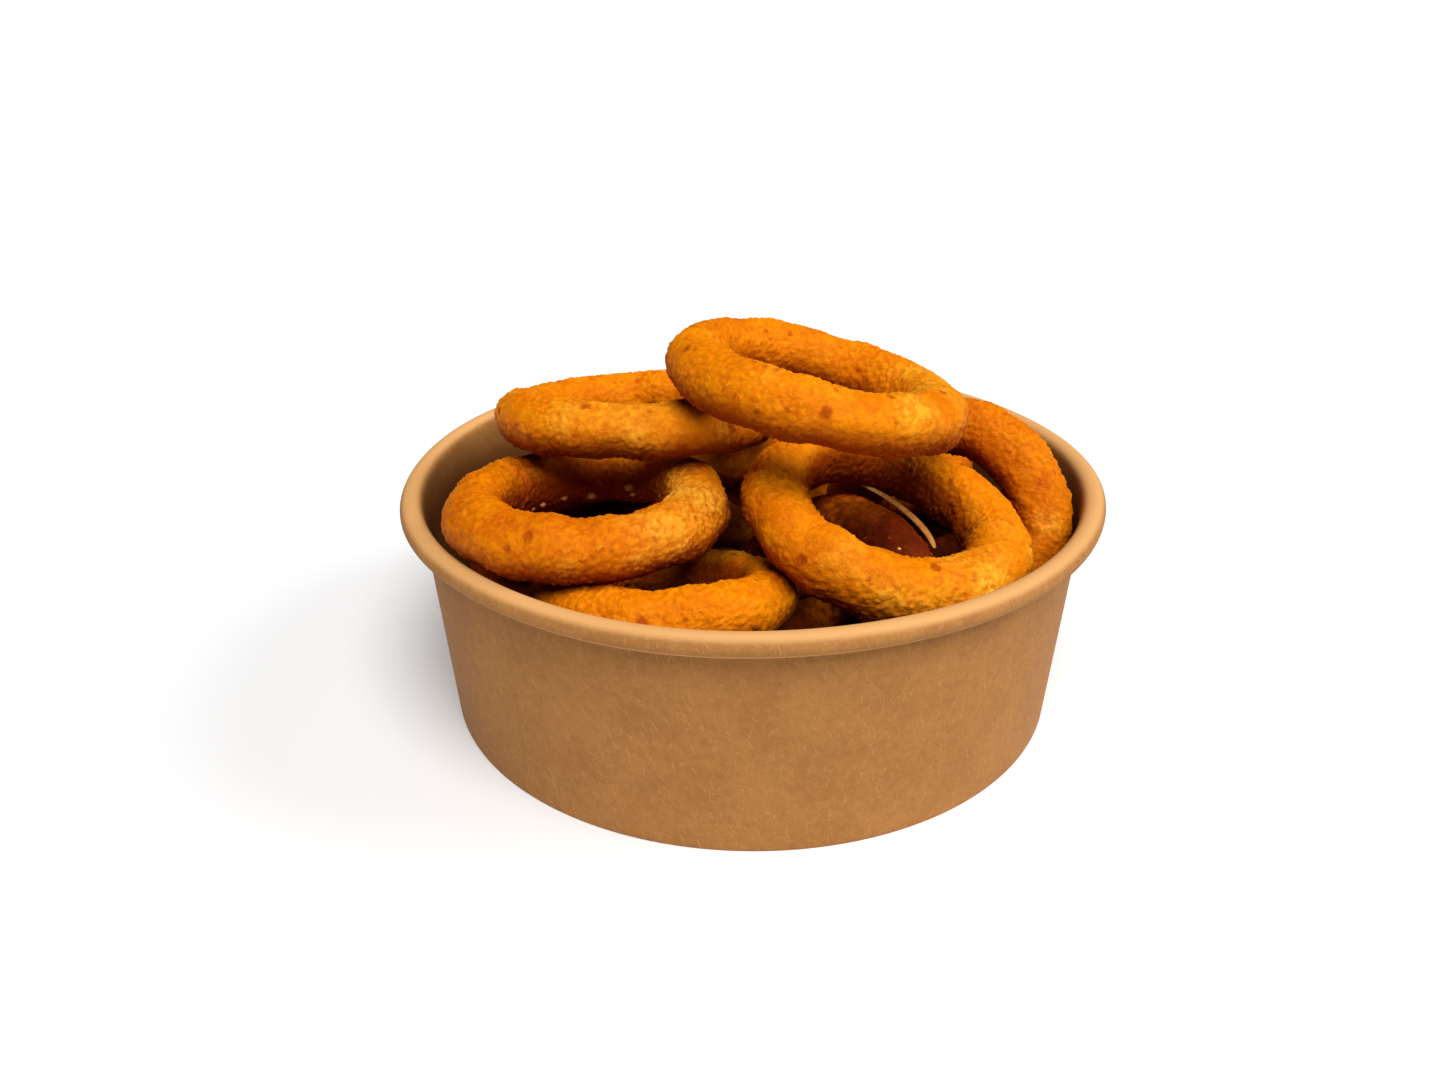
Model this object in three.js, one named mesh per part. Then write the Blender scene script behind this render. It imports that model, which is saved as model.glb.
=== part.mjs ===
// Onion rings side: battered and crumbed onion rings heaped in a round kraft paper bowl.
// Millimetres, +Z up. The origin is the middle of the foot circle, on the table.
// The bowl is one revolved paper shell with a rolled rim and a base disc set above the table.
// Each ring is a torus with a lumpy crust, and rests on the rings, the wall or the floor below it.
import * as THREE from 'three';
import { mergeVertices } from 'three/addons/utils/BufferGeometryUtils.js';

// Bowl sizes
const RIM_RADIUS = 75;            // outside of the rolled rim
const BOWL_HEIGHT = 50;           // top of the rolled rim above the table
const FOOT_RADIUS = 67.5;         // outside of the wall at the table
const WALL_FLARE = 3.5;           // how much the wall's radius grows from the table to the rim's top
const PAPER = 0.7;                // board thickness
const SKIRT = 1.6;                // wall and folded base edge together, round the foot
const RECESS = 3.4;               // underside of the base disc above the table
const BASE_THICKNESS = 0.6;       // board of the base disc
const BEAD_HALF_WIDTH = 2.4;      // rolled rim, half its radial width
const BEAD_HALF_HEIGHT = 2.2;     // rolled rim, half its height
const BEAD_TURN = { from: -100, to: 160, step: 32.5 };  // degrees round the rolled rim's section
const WALL_UNDER_BEAD = 1.9;      // how far under the bead's middle the outside wall meets it
const WALL_INSIDE_BEAD = 0.4;     // how far under the bead's middle the inside wall leaves it
const BOWL_STEPS = 60;            // facets round the bowl

// Ring sizes shared by all
const RELIEF = 0.4;               // height of the crust's lumps over or under the mean tube
const RELIEF_GAIN = 1.8;          // makes up for waves that cancel, so that the lumps reach RELIEF
const WAVE_ORDERS = [[3, 0], [5, 1], [7, -1], [9, 2], [12, 1], [4, -2], [15, 0]];  // along, round the tube
const LEAST_WEIGHT = 0.6;         // smallest share that one wave may take
const WEIGHT_RANGE = 0.8;         // how much larger than that it may be
const OVAL = 0.012;               // share by which a ring is out of round
const TREFOIL = 0.0084;           // share by which it is three-lobed
const WARP = 0.35;                // how far a ring is bent out of its plane

// How the heap is settled
const CLEARANCE = 0.32;           // gap kept at each contact
const ALONG_SAMPLES = 72;         // points along a ring's centreline where contacts are looked for
const ROUND_SAMPLES = 16;         // points round the tube that give its greatest reach
const SPAN_ALLOWANCE = 2;         // added to a ring's reach when far pairs are left out
const NEAR_ENOUGH = -1;           // contacts clear by more than this aren't worked out closely
const TOUCHING = 0.01;            // overlap that counts as none
const EASE_PASSES = 400;          // most rounds of easing the rings apart
const UPPER_SHARE = 0.55;         // share of an overlap that the later ring of a pair moves
const SINK_STEP = 0.05;           // one step down
const SINK_STEPS = 30;            // most steps down

// Facets
const MERGE_WITHIN = 1e-3;        // points of a torus closer than this are one
const SHOWN_STEPS = [42, 11];     // facets along and round the tube of a ring on the heap's front
const INNER_STEPS = [26, 8];      // the same for a ring lower in the heap

// Finishes
const KRAFT_ROUGHNESS = 0.85;
const BATTER_ROUGHNESS = 0.75;
const KRAFT = 0xb07c48;
const GOLDEN = 0xd98a2b;
const AMBER = 0xc97720;
const DEEP_AMBER = 0xb3661b;

// Each ring as it lies in the heap. "at" is its centre, tilt is how far its plane leans from level,
// heading is the compass angle that the plane runs down towards, radius is that of the tube's
// centreline, and tube is the mean radius of the battered tube. The heap is then eased apart until
// every ring clears its neighbours, and each ring sinks until it rests.
const INNER_RINGS = [
  { name: 'ring_floor_left', at: [-35.5, -11.5, 11], tilt: 0, heading: 0, radius: 20, tube: 5.5, seed: 11 },
  { name: 'ring_floor_right', at: [31, -14, 11.5], tilt: 1, heading: 168, radius: 20.5, tube: 5.7, seed: 12 },
  { name: 'ring_floor_back', at: [1.5, 36, 13], tilt: 4, heading: 333, radius: 21, tube: 5.7, seed: 13 },
  { name: 'ring_low_front', at: [-25, -39, 25.5], tilt: 10, heading: 50, radius: 16.5, tube: 5.6, seed: 14 },
  { name: 'ring_low_left', at: [-41.5, 11, 22.5], tilt: 2, heading: 130, radius: 19.5, tube: 5.5, seed: 15 },
  { name: 'ring_low_right', at: [40, 19, 25.5], tilt: 6, heading: 171, radius: 17.5, tube: 5.7, seed: 16 },
  { name: 'ring_low_back', at: [-3, 40.5, 27.5], tilt: 13, heading: 342, radius: 18.5, tube: 5.6, seed: 17 },
  { name: 'ring_mid_left', at: [-36.5, 5.5, 36], tilt: 5.5, heading: 158, radius: 20, tube: 5.4, seed: 19 },
  { name: 'ring_mid_back_right', at: [32, 31.5, 37.5], tilt: 4.5, heading: 165, radius: 18, tube: 5.7, seed: 18 },
  { name: 'ring_mid_back', at: [-14.5, 25.5, 47.5], tilt: 6, heading: 102, radius: 24.5, tube: 5.3, seed: 20 },
  { name: 'ring_high_back', at: [21, 31.5, 56], tilt: 7, heading: 25, radius: 18.5, tube: 5.6, seed: 21 },
];
const SHOWN_RINGS = [
  { name: 'ring_under_right', at: [14.5, -27.5, 29], tilt: 52, heading: 225, radius: 20, tube: 6, seed: 2 },
  { name: 'ring_right_back', at: [40.5, -8, 40.5], tilt: 62.5, heading: 242, radius: 21, tube: 6.3, seed: 3 },
  { name: 'ring_front', at: [-17.5, -41.5, 40], tilt: 14.5, heading: 88, radius: 19.5, tube: 5.8, seed: 4 },
  { name: 'ring_right', at: [25.7, -30, 50.5], tilt: 17.3, heading: 323, radius: 22.4, tube: 6.35, seed: 5 },
  { name: 'ring_left', at: [-32.6, -30, 53.7], tilt: 4.3, heading: 101, radius: 21.7, tube: 6, seed: 6 },
  { name: 'ring_upper_left', at: [-23.7, -1.2, 63.3], tilt: 11.2, heading: 95, radius: 24.3, tube: 5.6, seed: 7 },
  { name: 'ring_top', at: [12.6, -15.8, 74.2], tilt: 13.4, heading: 19, radius: 24.4, tube: 5.9, seed: 8 },
];
const RINGS = [
  ...INNER_RINGS.map((ring, i) => ({ ...ring, steps: INNER_STEPS, tone: [AMBER, DEEP_AMBER][i % 2] })),
  ...SHOWN_RINGS.map((ring, i) => ({ ...ring, steps: SHOWN_STEPS, tone: [AMBER, GOLDEN][i % 2] })),
];

/** Seeded numbers from 0 to 1, the same every time for one seed. */
function seededRandom(seed) {
  let state = (seed * 2654435761) >>> 0;
  return () => {
    state = (state + 0x6d2b79f5) >>> 0;
    let t = state;
    t = Math.imul(t ^ (t >>> 15), t | 1);
    t ^= t + Math.imul(t ^ (t >>> 7), t | 61);
    return ((t ^ (t >>> 14)) >>> 0) / 4294967296;
  };
}

/** The waves that make one ring's lumps, out-of-round and warp, each with its own phase. */
function crustOf(ring) {
  const random = seededRandom(ring.seed);
  const turn = () => random() * Math.PI * 2;
  const crust = { oval: turn(), trefoil: turn(), warp: turn(), waves: [] };
  for (const [along, across] of WAVE_ORDERS) {
    crust.waves.push({ along, across, phase: turn(), weight: LEAST_WEIGHT + WEIGHT_RANGE * random() });
  }
  crust.total = crust.waves.reduce((sum, wave) => sum + wave.weight, 0);
  return crust;
}

/** Radius of the battered tube at angle u along the ring and v round the tube. */
function tubeRadius(ring, crust, u, v) {
  let sum = 0;
  for (const wave of crust.waves) {
    sum += wave.weight * Math.sin(wave.along * u + wave.across * v + wave.phase);
  }
  return ring.tube + (RELIEF * RELIEF_GAIN * sum) / crust.total;
}

/** Point of the tube's centreline at angle u, in the ring's own plane, before it is tilted. */
function centrePoint(ring, crust, u) {
  const out = 1 + OVAL * Math.sin(2 * u + crust.oval) + TREFOIL * Math.sin(3 * u + crust.trefoil);
  const radius = ring.radius * out;
  const lift = WARP * Math.sin(2 * u + crust.warp);
  return new THREE.Vector3(radius * Math.cos(u), radius * Math.sin(u), lift);
}

/** Turns a ring so that its plane runs down towards its heading. */
function orient(object, ring) {
  object.rotation.set(0, THREE.MathUtils.degToRad(ring.tilt), THREE.MathUtils.degToRad(ring.heading), 'ZYX');
}

/** A ring in the heap: its moving centre, and points along its tube with the tube's reach there. */
function heapedRing(ring, crust) {
  const pose = new THREE.Object3D();
  orient(pose, ring);
  const axis = new THREE.Vector3(0, 0, 1).applyEuler(pose.rotation);
  const balls = [];
  for (let i = 0; i < ALONG_SAMPLES; i += 1) {
    const u = (i / ALONG_SAMPLES) * Math.PI * 2;
    let reach = 0;
    for (let k = 0; k < ROUND_SAMPLES; k += 1) {
      reach = Math.max(reach, tubeRadius(ring, crust, u, (k / ROUND_SAMPLES) * Math.PI * 2));
    }
    const outward = new THREE.Vector3(Math.cos(u), Math.sin(u), 0).applyEuler(pose.rotation);
    balls.push({ u, at: centrePoint(ring, crust, u).applyEuler(pose.rotation), outward, reach });
  }
  const span = ring.radius + ring.tube + SPAN_ALLOWANCE;
  return { ring, crust, axis, centre: new THREE.Vector3(...ring.at), balls, span };
}

/** Radius of a heaped ring's crust at one ball, on the side that faces the given direction. */
function reachTowards(a, ball, x, y, z) {
  const out = ball.outward.x * x + ball.outward.y * y + ball.outward.z * z;
  const up = a.axis.x * x + a.axis.y * y + a.axis.z * z;
  return tubeRadius(a.ring, a.crust, ball.u, Math.atan2(up, out));
}

/** Inside radius of the bowl's wall at height z. */
function wallInside(z) {
  return FOOT_RADIUS - PAPER + (WALL_FLARE * z) / BOWL_HEIGHT;
}

/** Where two heaped rings come closest: how deep they overlap, and the way from b to a. */
function ringContact(a, b) {
  const contact = { depth: -Infinity, way: new THREE.Vector3() };
  if (a.centre.distanceTo(b.centre) > a.span + b.span) {
    return contact;
  }
  const gap = new THREE.Vector3().subVectors(a.centre, b.centre);
  for (const p of a.balls) {
    const x = p.at.x + gap.x;
    const y = p.at.y + gap.y;
    const z = p.at.z + gap.z;
    for (const q of b.balls) {
      const dx = x - q.at.x;
      const dy = y - q.at.y;
      const dz = z - q.at.z;
      const distance = Math.sqrt(dx * dx + dy * dy + dz * dz);
      if (p.reach + q.reach + CLEARANCE - distance < Math.max(contact.depth, NEAR_ENOUGH)) {
        continue;
      }
      const facing = reachTowards(a, p, -dx, -dy, -dz) + reachTowards(b, q, dx, dy, dz);
      const depth = facing + CLEARANCE - distance;
      if (depth > contact.depth) {
        contact.depth = depth;
        contact.way.set(dx, dy, dz).divideScalar(distance);
      }
    }
  }
  return contact;
}

/** Where a heaped ring comes closest to the bowl: its overlap, and the way that clears it. */
function bowlContact(a) {
  const contact = { depth: -Infinity, way: new THREE.Vector3() };
  const keep = (depth, x, y, z) => {
    if (depth > contact.depth) {
      contact.depth = depth;
      contact.way.set(x, y, z).normalize();
    }
  };
  const beadCentre = RIM_RADIUS - BEAD_HALF_WIDTH;
  const beadHeight = BOWL_HEIGHT - BEAD_HALF_HEIGHT;
  for (const ball of a.balls) {
    const x = ball.at.x + a.centre.x;
    const y = ball.at.y + a.centre.y;
    const z = ball.at.z + a.centre.z;
    const reach = ball.reach + CLEARANCE;
    const out = Math.hypot(x, y);
    keep(RECESS + BASE_THICKNESS + reach - z, 0, 0, 1);
    if (z < beadHeight) {
      keep(out + reach - wallInside(z), -x, -y, 0);
    } else {
      const away = Math.hypot(out - beadCentre, z - beadHeight);
      const side = (out - beadCentre) / out;
      keep(reach + BEAD_HALF_WIDTH - away, x * side, y * side, z - beadHeight);
    }
  }
  return contact;
}

/** Moves overlapping rings apart, a little at a time, until all are clear. */
function easeApart(heap) {
  for (let pass = 0; pass < EASE_PASSES; pass += 1) {
    let worst = 0;
    for (let i = 0; i < heap.length; i += 1) {
      for (let j = 0; j < i; j += 1) {
        const { depth, way } = ringContact(heap[i], heap[j]);
        if (depth > 0) {
          heap[i].centre.addScaledVector(way, depth * UPPER_SHARE);
          heap[j].centre.addScaledVector(way, -depth * (1 - UPPER_SHARE));
          worst = Math.max(worst, depth);
        }
      }
      const { depth, way } = bowlContact(heap[i]);
      if (depth > 0) {
        heap[i].centre.addScaledVector(way, depth);
        worst = Math.max(worst, depth);
      }
    }
    if (worst < TOUCHING) {
      return;
    }
  }
}

/** Lowers each ring in turn, in small steps, while it stays clear of the others and the bowl. */
function sink(heap) {
  const clear = (a) => bowlContact(a).depth <= TOUCHING
    && heap.every((b) => a === b || ringContact(a, b).depth <= TOUCHING);
  for (const a of heap) {
    for (let fallen = 0; fallen < SINK_STEPS; fallen += 1) {
      a.centre.z -= SINK_STEP;
      if (!clear(a)) {
        a.centre.z += SINK_STEP;
        break;
      }
    }
  }
}

/** Lumpy closed ring: a torus whose points are moved to the crust's surface. */
function ringGeometry(ring, crust) {
  const [along, round] = ring.steps;
  const torus = new THREE.TorusGeometry(ring.radius, ring.tube, round, along);
  torus.deleteAttribute('normal');
  torus.deleteAttribute('uv');
  const geometry = mergeVertices(torus, MERGE_WITHIN);
  const position = geometry.attributes.position;
  const point = new THREE.Vector3();
  for (let i = 0; i < position.count; i += 1) {
    point.fromBufferAttribute(position, i);
    const u = Math.atan2(point.y, point.x);
    const v = Math.atan2(point.z, Math.hypot(point.x, point.y) - ring.radius);
    const centre = centrePoint(ring, crust, u);
    const radius = tubeRadius(ring, crust, u, v);
    const side = radius * Math.cos(v);
    point.set(centre.x + side * Math.cos(u), centre.y + side * Math.sin(u), centre.z + radius * Math.sin(v));
    position.setXYZ(i, point.x, point.y, point.z);
  }
  geometry.computeVertexNormals();
  return geometry;
}

/** Paper bowl: skirt, flaring wall, rolled rim and base disc as one revolved section. */
function bowlGeometry() {
  const section = [];
  const add = (radius, z) => section.push(new THREE.Vector2(radius, z));
  const foot = (z) => FOOT_RADIUS + (WALL_FLARE * z) / BOWL_HEIGHT;
  add(0, RECESS);
  add(foot(RECESS) - SKIRT, RECESS);
  add(foot(0) - SKIRT, 0);
  add(foot(0), 0);
  const beadCentre = RIM_RADIUS - BEAD_HALF_WIDTH;
  const beadHeight = BOWL_HEIGHT - BEAD_HALF_HEIGHT;
  add(foot(beadHeight - WALL_UNDER_BEAD), beadHeight - WALL_UNDER_BEAD);
  for (let angle = BEAD_TURN.from; angle <= BEAD_TURN.to; angle += BEAD_TURN.step) {
    const a = THREE.MathUtils.degToRad(angle);
    add(beadCentre + BEAD_HALF_WIDTH * Math.cos(a), beadHeight + BEAD_HALF_HEIGHT * Math.sin(a));
  }
  add(wallInside(beadHeight - WALL_INSIDE_BEAD), beadHeight - WALL_INSIDE_BEAD);
  const floor = RECESS + BASE_THICKNESS;
  add(wallInside(floor), floor);
  add(0, floor);
  const geometry = new THREE.LatheGeometry(section, BOWL_STEPS);
  geometry.rotateX(Math.PI / 2);
  return geometry;
}

const onionRings = new THREE.Group();
onionRings.name = 'onion_rings_side';

const kraft = new THREE.MeshStandardMaterial({ color: KRAFT, roughness: KRAFT_ROUGHNESS, metalness: 0 });
const bowl = new THREE.Mesh(bowlGeometry(), kraft);
bowl.name = 'paper_bowl';
onionRings.add(bowl);

const crusts = RINGS.map(crustOf);
const heap = RINGS.map((ring, index) => heapedRing(ring, crusts[index]));
easeApart(heap);
sink(heap);

RINGS.forEach((ring, index) => {
  const finish = { color: ring.tone, roughness: BATTER_ROUGHNESS, metalness: 0 };
  const batter = new THREE.MeshStandardMaterial(finish);
  const mesh = new THREE.Mesh(ringGeometry(ring, crusts[index]), batter);
  mesh.name = ring.name;
  orient(mesh, ring);
  mesh.position.copy(heap[index].centre);
  onionRings.add(mesh);
});

export default onionRings;
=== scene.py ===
"""Looks of the onion rings side: a round kraft paper bowl heaped with large crumbed onion rings.

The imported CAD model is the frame. Each of its rings is replaced by a crumbed ring with the same
centre, lean, lumps and size, whose coat of crumbs is real relief, and the plain bowl by a paper
bowl with a rolled rim, a lapped side seam and a set-in base. Loose crumbs lie where they would
fall, and a sliver and some bits of bare onion show in two of the holes. Sizes in the classes are
in millimetres unless a name says otherwise, and meshes are made in metres.
"""

import logging
import math
from dataclasses import astuple, dataclass, field
from enum import Enum

import bmesh
import bpy
import numpy as np
from mathutils import Matrix, Vector
from mathutils.bvhtree import BVHTree


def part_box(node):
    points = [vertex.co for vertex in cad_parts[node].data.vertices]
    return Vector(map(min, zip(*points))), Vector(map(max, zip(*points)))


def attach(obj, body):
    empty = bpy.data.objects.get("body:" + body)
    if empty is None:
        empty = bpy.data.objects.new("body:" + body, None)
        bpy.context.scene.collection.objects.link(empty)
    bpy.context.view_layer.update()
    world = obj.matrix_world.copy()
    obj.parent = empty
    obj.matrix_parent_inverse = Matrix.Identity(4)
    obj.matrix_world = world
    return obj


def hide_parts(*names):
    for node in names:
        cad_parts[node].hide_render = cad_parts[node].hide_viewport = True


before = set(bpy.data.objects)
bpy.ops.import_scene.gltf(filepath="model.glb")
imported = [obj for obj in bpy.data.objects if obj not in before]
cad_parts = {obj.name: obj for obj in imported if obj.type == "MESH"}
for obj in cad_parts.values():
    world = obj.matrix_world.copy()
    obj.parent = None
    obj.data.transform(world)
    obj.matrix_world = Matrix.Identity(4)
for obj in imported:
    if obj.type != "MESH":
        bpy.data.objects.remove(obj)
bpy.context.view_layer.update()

LOG = logging.getLogger("onion_rings")
MM = 0.001
FULL_TURN = 2.0 * math.pi
WORD = 0xFFFFFFFF

Array = np.ndarray
Socket = bpy.types.NodeSocket
Colour = tuple[float, float, float]
Place = tuple[float, float, float]


class Slot(Enum):
    """Material slots of the record."""

    KRAFT = "kraft_board"
    BATTER = "crumbed_batter"


class Detail(Enum):
    """How fine a ring's grid is, as steps along the ring and steps round its tube."""

    FULL = (424, 106)
    MIDDLE = (280, 72)
    BURIED = (168, 44)


class Browning(Enum):
    """How browned a ring's batter looks. Deep is partly, and dark wholly, painted shade for rings low in
    the heap.
    """

    GOLDEN = "golden"
    AMBER = "amber"
    # Browner batter that also paints some of the shade on a ring low in the heap.
    DEEP = "deep"
    # Near-black batter: painted shade on the buried rings.
    SHADED = "dark"


def srgb(red: int, green: int, blue: int) -> Colour:
    """Turns a screen colour into the linear colour that shaders take.

    A channel c from 0 to 1 becomes c / 12.92 up to 0.04045, and ((c + 0.055) / 1.055) to the
    power 2.4 above it.

    Args:
        red: red channel, 0 to 255.
        green: green channel, 0 to 255.
        blue: blue channel, 0 to 255.

    Returns:
        The three linear channels.
    """
    channels = np.array([red, green, blue]) / 255.0
    linear = np.where(channels <= 0.04045, channels / 12.92, ((channels + 0.055) / 1.055) ** 2.4)
    return tuple(float(c) for c in linear)


# Noise on arrays of points


def hashed(cells: Array, seed: int) -> Array:
    """Gives every whole-number cell a steady pseudo-random value from 0 to 1.

    The three cell numbers are multiplied by large odd numbers, mixed by exclusive or, and
    stirred twice by a shift and a multiplication.

    Args:
        cells: whole numbers, shape (..., 3).
        seed: picks another set of values.

    Returns:
        Values of shape (...).
    """
    c = cells.astype(np.int64).astype(np.uint64) & np.uint64(WORD)
    h = (c[..., 0] * np.uint64(0x8DA6B343)) ^ (c[..., 1] * np.uint64(0xD8163841))
    h ^= (c[..., 2] * np.uint64(0xCB1AB31F)) ^ np.uint64(seed * 0x9E3779B1 & WORD)
    h &= np.uint64(WORD)
    h = ((h ^ (h >> np.uint64(15))) * np.uint64(0x2C1B3C6D)) & np.uint64(WORD)
    h = ((h ^ (h >> np.uint64(12))) * np.uint64(0x297A2D39)) & np.uint64(WORD)
    h ^= h >> np.uint64(15)
    return h.astype(np.float64) / float(WORD)


def smooth_noise(points: Array, cell: float, seed: int) -> Array:
    """Soft hills and hollows from -1 to 1.

    Each corner of a cube of side `cell` has a random height, and a point takes the mean of its
    cube's eight corners, weighted by 3t^2 - 2t^3 along each axis.

    Args:
        points: places, shape (..., 3).
        cell: side of a cube, in the same unit as the points.
        seed: picks another set of heights.

    Returns:
        Heights of shape (...).
    """
    scaled = points / cell
    base = np.floor(scaled)
    t = scaled - base
    t = t * t * (3.0 - 2.0 * t)
    total = np.zeros(points.shape[:-1])
    for corner in np.ndindex(2, 2, 2):
        step = np.array(corner)
        weight = np.prod(np.where(step == 1, t, 1.0 - t), axis=-1)
        total += weight * hashed(base + step, seed)
    return 2.0 * total - 1.0


def grains(points: Array, cell: float, seed: int) -> Array:
    """Rounded crumbs scattered one to a cube.

    Each cube of side `cell` holds one crumb at a random place, with a random radius from 0.45 to
    0.85 of the side and a random height from 0.55 to 1. A point's height is the largest of
    1 - (distance / radius)^2 times the crumb's height, over its own cube and the 26 around it.

    Args:
        points: places, shape (..., 3).
        cell: side of a cube, in the same unit as the points.
        seed: picks another scatter.

    Returns:
        Heights from 0 to 1.
    """
    scaled = points / cell
    base = np.floor(scaled)
    height = np.zeros(points.shape[:-1])
    for corner in np.ndindex(3, 3, 3):
        cube = base + (np.array(corner) - 1)
        centre = cube + np.stack([hashed(cube, seed + axis) for axis in (1, 2, 3)], axis=-1)
        radius = 0.45 + 0.40 * hashed(cube, seed + 4)
        square = ((scaled - centre) ** 2).sum(axis=-1)
        crumb = (1.0 - square / radius**2) * (0.55 + 0.45 * hashed(cube, seed + 5))
        height = np.maximum(height, crumb)
    return height


def smoothstep(low: float, high: float, value: Array) -> Array:
    """Rises from 0 at `low` to 1 at `high` as 3t^2 - 2t^3."""
    t = np.clip((value - low) / (high - low), 0.0, 1.0)
    return t * t * (3.0 - 2.0 * t)


# Meshes from grids


@dataclass
class GridMesh:
    """A surface on a grid of points, shape (rows, columns, 3), in millimetres.

    Columns always close on themselves. Rows close on themselves for a ring, and otherwise the
    first and the last row each shrink to one point on the axis.
    """

    name: str
    points: Array
    rows_close: bool
    values: dict[str, Array] = field(default_factory=dict)

    def build(self) -> bpy.types.Object:
        """Makes the mesh object, with smooth faces and the grid's values as point attributes.

        Returns:
            The object, linked to the scene.
        """
        rows, columns, _ = self.points.shape
        flat = self.points.reshape(-1, 3) * MM
        index = np.arange(rows * columns).reshape(rows, columns)
        after = np.roll(index, -1, axis=1)
        if self.rows_close:
            below, below_after = np.roll(index, -1, axis=0), np.roll(after, -1, axis=0)
            quads = np.stack([index, below, below_after, after], axis=-1).reshape(-1, 4)
            faces = [quads]
            values = {key: value.reshape(-1) for key, value in self.values.items()}
        else:
            quads = np.stack([index[:-1], after[:-1], after[1:], index[1:]], axis=-1).reshape(-1, 4)
            start, end = rows * columns, rows * columns + 1
            ends = np.stack([self.points[0].mean(axis=0), self.points[-1].mean(axis=0)]) * MM
            flat = np.vstack([flat, ends])
            first = np.stack([np.full(columns, start), after[0], index[0]], axis=-1)
            last = np.stack([np.full(columns, end), index[-1], after[-1]], axis=-1)
            faces = [quads, first, last]
            values = {
                key: np.append(value.reshape(-1), [value[0].mean(), value[-1].mean()])
                for key, value in self.values.items()
            }
        return mesh_object(self.name, flat, faces, values)


def mesh_object(name: str, points: Array, faces: list[Array], values: dict[str, Array]) -> bpy.types.Object:
    """Puts whole arrays of points and faces into a mesh object.

    Args:
        name: the piece's name.
        points: places in metres, shape (count, 3).
        faces: arrays of point numbers, one array for each number of corners.
        values: numbers for each point, kept as attributes.

    Returns:
        The object, linked to the scene.
    """
    mesh = bpy.data.meshes.new(name)
    corners = np.concatenate([group.reshape(-1) for group in faces])
    sizes = np.concatenate([np.full(len(group), group.shape[1]) for group in faces])
    starts = np.concatenate([[0], np.cumsum(sizes)[:-1]])
    mesh.vertices.add(len(points))
    mesh.vertices.foreach_set("co", points.astype(np.float32).reshape(-1))
    mesh.loops.add(len(corners))
    mesh.loops.foreach_set("vertex_index", corners.astype(np.int32))
    mesh.polygons.add(len(sizes))
    mesh.polygons.foreach_set("loop_start", starts.astype(np.int32))
    mesh.update(calc_edges=True)
    mesh.validate()
    mesh.shade_smooth()
    for key, value in values.items():
        layer = mesh.attributes.new(key, "FLOAT", "POINT")
        layer.data.foreach_set("value", value.astype(np.float32))
    piece = bpy.data.objects.new(name, mesh)
    bpy.context.scene.collection.objects.link(piece)
    return piece


# Shader nodes


class NodeDesk:
    """Adds nodes to one tree and links them, so that a material reads as a short list."""

    def __init__(self, tree: bpy.types.NodeTree) -> None:
        """Keeps the tree that the nodes go into."""
        self.tree = tree

    def add(self, kind: str, inputs: dict | None = None, **settings: object) -> bpy.types.Node:
        """Adds a node, sets its properties, and sets or links its inputs.

        Args:
            kind: Blender's name for the node type.
            inputs: socket name or number to a value, or to the socket that feeds it.
            settings: properties of the node.

        Returns:
            The node.
        """
        node = self.tree.nodes.new(kind)
        for key, value in settings.items():
            setattr(node, key, value)
        for key, value in (inputs or {}).items():
            if isinstance(value, Socket):
                self.tree.links.new(value, node.inputs[key])
            else:
                node.inputs[key].default_value = value
        return node

    def attribute(self, name: str) -> Socket:
        """Reads one of the mesh's point attributes."""
        return self.add("ShaderNodeAttribute", attribute_name=name).outputs["Fac"]

    def math(self, operation: str, first: object, second: object = 0.0, clamp: bool = False) -> Socket:
        """Works out one sum on two values or sockets."""
        node = self.add("ShaderNodeMath", {0: first, 1: second}, operation=operation, use_clamp=clamp)
        return node.outputs[0]

    def remap(self, value: Socket, low: float, high: float) -> Socket:
        """Carries a value smoothly from 0 at low to 1 at high."""
        node = self.add(
            "ShaderNodeMapRange",
            {"Value": value, "From Min": low, "From Max": high},
            interpolation_type="SMOOTHSTEP",
        )
        return node.outputs["Result"]

    def blend(self, factor: object, first: object, second: object) -> Socket:
        """Mixes two colours: the first times one minus the factor, plus the second times it.

        Args:
            factor: share of the second colour, a number or a socket.
            first: a linear colour, or the socket that gives it.
            second: the same for the other colour.

        Returns:
            The mixed colour's socket.
        """
        node = self.add("ShaderNodeMix", data_type="RGBA")
        for socket, value in ((node.inputs[0], factor), (node.inputs[6], first), (node.inputs[7], second)):
            if isinstance(value, Socket):
                self.tree.links.new(value, socket)
            elif isinstance(value, tuple):
                socket.default_value = (*value, 1.0)
            else:
                socket.default_value = value
        return node.outputs[2]


@dataclass(frozen=True)
class Clouds:
    """A material's values for the mottle: cells per metre of its two noises, share of the fine one."""

    broad_scale: float
    fine_scale: float
    fine_share: float


@dataclass(frozen=True)
class Flecks:
    """A material's values for its flecks: cells per metre, share of them marked, radius in cells."""

    scale: float
    share: float
    radius: float


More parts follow.
